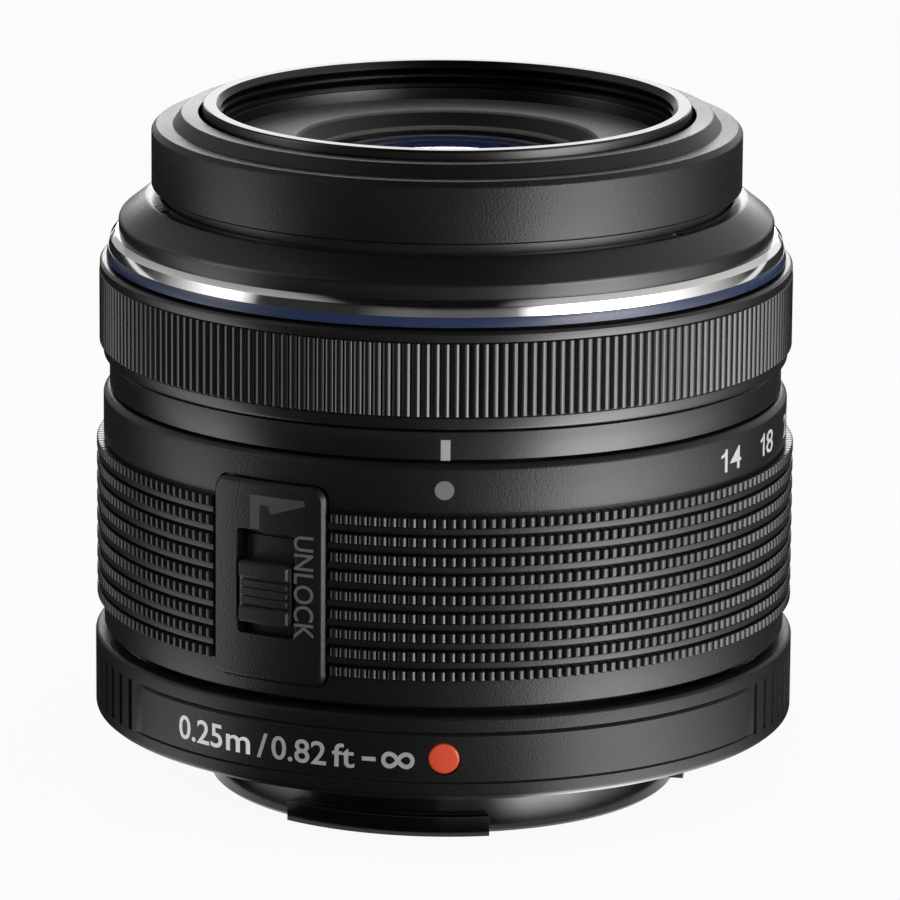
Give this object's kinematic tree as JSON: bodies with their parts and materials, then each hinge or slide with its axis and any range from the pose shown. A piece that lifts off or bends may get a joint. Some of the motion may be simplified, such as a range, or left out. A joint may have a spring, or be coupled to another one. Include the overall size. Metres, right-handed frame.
{
  "type": "camera zoom lens",
  "caption": "Short black retracting zoom lens for a mirrorless camera, with ribbed focus ring, pegged zoom ring, lock slider and bayonet mount.",
  "frame": {"origin": "centre of the mount flange plane, on the optical axis", "axes": "+Z along the optical axis to the front, index marks towards -Y"},
  "size_m": [0.0564, 0.0564, 0.0552],
  "materials": {
    "satin_black": "satin black moulded plastic with a fine grain",
    "slider_black": "smooth black moulded plastic",
    "mount_black": "glossy black reinforced plastic",
    "filter_black": "anodised dark grey metal",
    "nose_black": "matt black plastic",
    "barrel_black": "matt black plastic",
    "chrome_trim": "bright polished metal",
    "blue_trim": "dark blue anodised metal",
    "coated_glass": "coated optical glass with a blue sheen",
    "screw_steel": "turned steel",
    "motor_can": "drawn steel can",
    "contact_gold": "gold plated",
    "board_green": "circuit board with solder mask",
    "sensor_black": "black plastic",
    "cam_alloy": "grey anodised alloy",
    "index_red": "orange red moulded plastic",
    "seal_felt": "black felt",
    "blade_black": "blackened spring steel"
  },
  "bodies": {
    "body": {"mount_plate": "mount_black", "mount_screws": "screw_steel", "contact_block": "mount_black", "contact_pins": "contact_gold", "rear_baffle": "nose_black", "rear_cell": "barrel_black", "rear_lens": "coated_glass", "guide_rods": "screw_steel", "focus_motor": "motor_can", "main_board": "board_green", "base_ring": "satin_black", "index_dot": "index_red", "fixed_barrel": "barrel_black", "index_ring": "satin_black", "focus_sleeve": "barrel_black", "focus_sensor": "sensor_black", "blue_ring": "blue_trim", "chrome_ring": "chrome_trim", "front_shoulder": "satin_black", "shoulder_screws": "screw_steel", "light_seal": "seal_felt"},
    "zoom": {"zoom_ring": "satin_black", "lock_panel": "satin_black", "lock_spring": "screw_steel", "cam_ring": "cam_alloy", "zoom_key": "screw_steel"},
    "lock": {"lock_slider": "slider_black", "lock_pawl": "screw_steel"},
    "front": {"front_barrel": "barrel_black", "front_pins": "screw_steel", "front_cell": "barrel_black", "front_screws": "screw_steel", "lens_1": "coated_glass", "lens_2": "coated_glass", "beauty_ring": "nose_black", "filter_ring": "filter_black", "decor_ring": "satin_black"},
    "second": {"second_cell": "barrel_black", "second_pins": "screw_steel", "lens_3": "coated_glass", "lens_4": "coated_glass", "lens_5": "coated_glass", "lens_6": "coated_glass", "iris_base": "barrel_black", "iris_cover": "barrel_black", "iris_motor": "motor_can"},
    "iris": {"iris_ring": "motor_can"},
    "focus": {"focus_ring": "satin_black", "focus_comb": "sensor_black"},
    "lead": {"lead_screw": "screw_steel"},
    "focus_unit": {"focus_cell": "barrel_black", "focus_lens": "coated_glass"},
    "blade_1": {"iris_blade_1": "blade_black"},
    "blade_2": {"iris_blade_2": "blade_black"},
    "blade_3": {"iris_blade_3": "blade_black"},
    "blade_4": {"iris_blade_4": "blade_black"},
    "blade_5": {"iris_blade_5": "blade_black"}
  },
  "joints": [
    {"name": "zoom_turn", "type": "hinge", "parent": "body", "child": "zoom", "pos_m": [0, 0, 0], "axis": [0, 0, 1], "range_deg": [-107, 0]},
    {"name": "front_slide", "type": "slide", "parent": "body", "child": "front", "axis": [0, 0, 1], "range_m": [0, 0.0201]},
    {"name": "second_slide", "type": "slide", "parent": "body", "child": "second", "axis": [0, 0, 1], "range_m": [0, 0.0091]},
    {"name": "lock_slide", "type": "slide", "parent": "zoom", "child": "lock", "axis": [0, 0, 1], "range_m": [0, 0.0024], "stiffness_N_per_m": 120, "springref_m": -0.003, "deforming": ["lock_spring"]},
    {"name": "focus_turn", "type": "hinge", "parent": "body", "child": "focus", "pos_m": [0, 0, 0], "axis": [0, 0, 1], "continuous": true},
    {"name": "lead_turn", "type": "hinge", "parent": "body", "child": "lead", "pos_m": [0.0085, 0.01472, 0], "axis": [0, 0, 1], "range_deg": [-1100, 1100]},
    {"name": "focus_slide", "type": "slide", "parent": "body", "child": "focus_unit", "axis": [0, 0, 1], "range_m": [-0.0015, 0.0015]},
    {"name": "iris_turn", "type": "hinge", "parent": "second", "child": "iris", "pos_m": [0, 0, 0], "axis": [0, 0, 1], "range_deg": [0, 20]},
    {"name": "blade_1_turn", "type": "hinge", "parent": "second", "child": "blade_1", "pos_m": [0.0145, 0, 0], "axis": [0, 0, 1], "range_deg": [0, 26.1]},
    {"name": "blade_2_turn", "type": "hinge", "parent": "second", "child": "blade_2", "pos_m": [0.00448, 0.01379, 0], "axis": [0, 0, 1], "range_deg": [0, 26.1]},
    {"name": "blade_3_turn", "type": "hinge", "parent": "second", "child": "blade_3", "pos_m": [-0.01173, 0.00852, 0], "axis": [0, 0, 1], "range_deg": [0, 26.1]},
    {"name": "blade_4_turn", "type": "hinge", "parent": "second", "child": "blade_4", "pos_m": [-0.01173, -0.00852, 0], "axis": [0, 0, 1], "range_deg": [0, 26.1]},
    {"name": "blade_5_turn", "type": "hinge", "parent": "second", "child": "blade_5", "pos_m": [0.00448, -0.01379, 0], "axis": [0, 0, 1], "range_deg": [0, 26.1]}
  ],
  "couplings": [
    {"joint": "front_slide", "follows": "zoom_turn", "m_per_rad": -0.01071},
    {"joint": "second_slide", "follows": "zoom_turn", "m_per_rad": -0.0048193},
    {"joint": "lead_turn", "follows": "focus_slide", "rad_per_m": 12566},
    {"joint": "blade_1_turn", "follows": "iris_turn", "ratio": 1.3},
    {"joint": "blade_2_turn", "follows": "iris_turn", "ratio": 1.3},
    {"joint": "blade_3_turn", "follows": "iris_turn", "ratio": 1.3},
    {"joint": "blade_4_turn", "follows": "iris_turn", "ratio": 1.3},
    {"joint": "blade_5_turn", "follows": "iris_turn", "ratio": 1.3}
  ]
}
